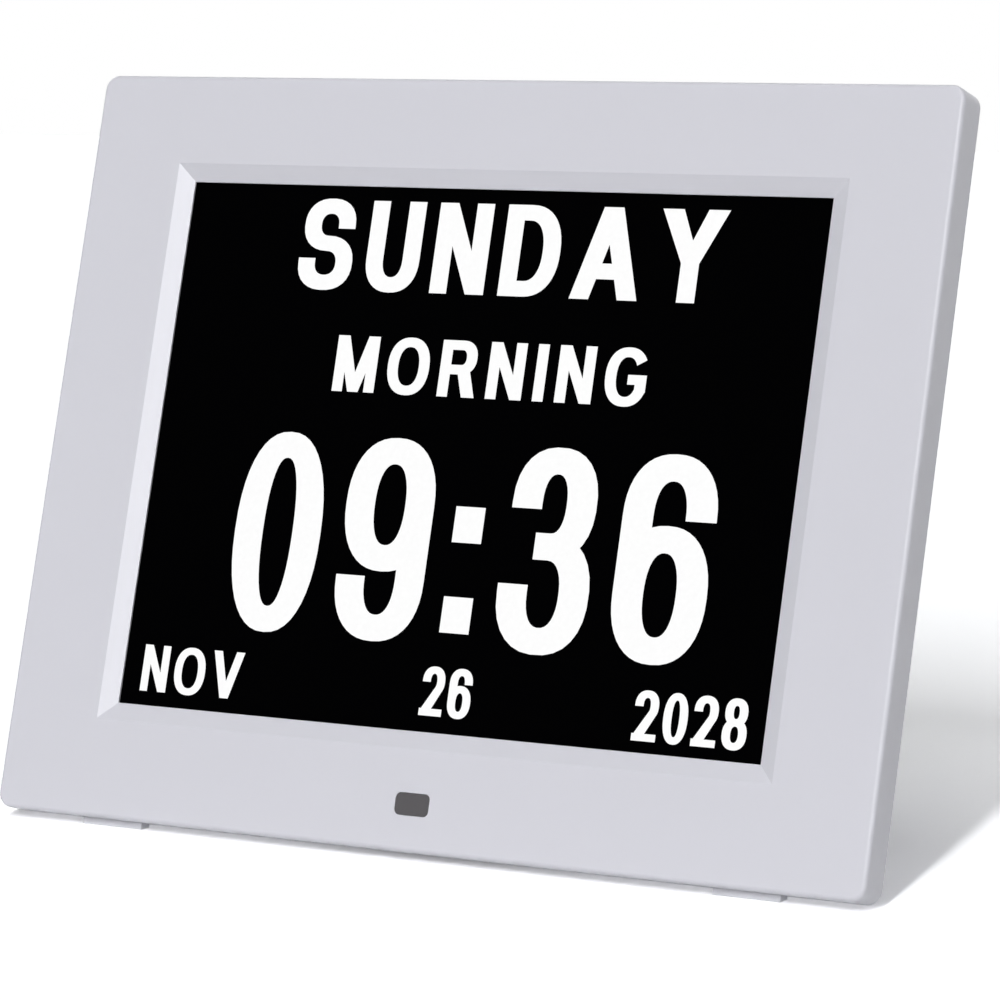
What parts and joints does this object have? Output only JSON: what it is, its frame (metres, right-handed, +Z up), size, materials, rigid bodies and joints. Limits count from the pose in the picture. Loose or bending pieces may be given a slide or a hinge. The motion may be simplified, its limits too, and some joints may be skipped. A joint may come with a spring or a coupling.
{
  "type": "day clock",
  "caption": "Desk clock with a wide framed screen for day, time and date, leaning back on a hinged leg, with push buttons, speaker and power socket behind.",
  "frame": {"origin": "on the table, under the middle of the whole standing clock", "axes": "+Z up, +X to the reader's right along the clock's width, +Y to the back; the screen faces -Y and leans back"},
  "size_m": [0.218, 0.0752, 0.1685],
  "materials": {
    "case_plastic": "fine satin moulded ABS, light cool grey-white",
    "cover_plastic": "fine spark texture, light grey",
    "button_plastic": "satin",
    "foot_rubber": "matt grey rubber",
    "screw_steel": "zinc plated",
    "pin_steel": "bright drawn steel",
    "pressed_steel": "tin plated sheet",
    "screen_glass": "black polarised screen, semi-gloss",
    "white_film": "satin white film",
    "clear_acrylic": "polished acrylic",
    "led_strip": "white board with yellow phosphor lamps",
    "white_plastic": "natural white nylon",
    "dark_lens": "dark smoked acrylic",
    "chip_plastic": "black moulding",
    "circuit_board": "green solder mask",
    "wire_cover": "soft coloured wire cover",
    "capacitor_can": "bright can",
    "ribbon_film": "amber film",
    "magnet_ferrite": "dark ferrite",
    "cone_paper": "black paper"
  },
  "bodies": {
    "case": {"front_bezel": "case_plastic", "rear_cover": "cover_plastic", "case_screws": "screw_steel", "rubber_foot_left": "foot_rubber", "rubber_foot_right": "foot_rubber", "stand_pin": "pin_steel", "lcd_frame": "pressed_steel", "lcd_panel": "screen_glass", "diffuser_sheet": "white_film", "light_guide": "clear_acrylic", "reflector_sheet": "white_film", "backlight_led_strip": "led_strip", "backlight_tray": "white_plastic", "lcd_bracket_left": "pressed_steel", "lcd_bracket_right": "pressed_steel", "bracket_screws": "screw_steel", "sensor_window": "dark_lens", "infrared_receiver": "chip_plastic", "sensor_board": "circuit_board", "sensor_wires": "wire_cover", "main_board": "circuit_board", "board_screws": "screw_steel", "processor_chip": "chip_plastic", "memory_chip": "chip_plastic", "power_inductor": "chip_plastic", "large_capacitor": "capacitor_can", "small_capacitor": "capacitor_can", "clock_crystal": "capacitor_can", "coin_cell_holder": "chip_plastic", "coin_cell": "pin_steel", "dc_jack": "chip_plastic", "speaker_socket": "white_plastic", "button_socket": "white_plastic", "ribbon_connector": "white_plastic", "display_ribbon": "ribbon_film", "speaker_frame": "pressed_steel", "speaker_magnet": "magnet_ferrite", "speaker_cone": "cone_paper", "speaker_wires": "wire_cover", "button_board": "circuit_board", "button_wires": "wire_cover", "menu_switch": "chip_plastic", "up_switch": "chip_plastic", "down_switch": "chip_plastic", "ok_switch": "chip_plastic", "power_switch": "chip_plastic"},
    "stand": {"stand_leg": "cover_plastic", "stand_foot_pad": "foot_rubber"},
    "menu_key": {"menu_button": "button_plastic", "menu_plunger": "button_plastic"},
    "up_key": {"up_button": "button_plastic", "up_plunger": "button_plastic"},
    "down_key": {"down_button": "button_plastic", "down_plunger": "button_plastic"},
    "ok_key": {"ok_button": "button_plastic", "ok_plunger": "button_plastic"},
    "power_key": {"power_button": "button_plastic", "power_plunger": "button_plastic"}
  },
  "joints": [
    {"name": "stand_hinge", "type": "hinge", "parent": "case", "child": "stand", "pos_m": [0, 0.01107, 0.09735], "axis": [-1, 0, 0], "range_deg": [0, 30]},
    {"name": "menu_press", "type": "slide", "parent": "case", "child": "menu_key", "axis": [0, -0.9613, 0.2756], "range_m": [0, 0.0005], "stiffness_N_per_m": 200},
    {"name": "up_press", "type": "slide", "parent": "case", "child": "up_key", "axis": [0, -0.9613, 0.2756], "range_m": [0, 0.0005], "stiffness_N_per_m": 200},
    {"name": "down_press", "type": "slide", "parent": "case", "child": "down_key", "axis": [0, -0.9613, 0.2756], "range_m": [0, 0.0005], "stiffness_N_per_m": 200},
    {"name": "ok_press", "type": "slide", "parent": "case", "child": "ok_key", "axis": [0, -0.9613, 0.2756], "range_m": [0, 0.0005], "stiffness_N_per_m": 200},
    {"name": "power_press", "type": "slide", "parent": "case", "child": "power_key", "axis": [0, -0.9613, 0.2756], "range_m": [0, 0.0005], "stiffness_N_per_m": 200}
  ]
}
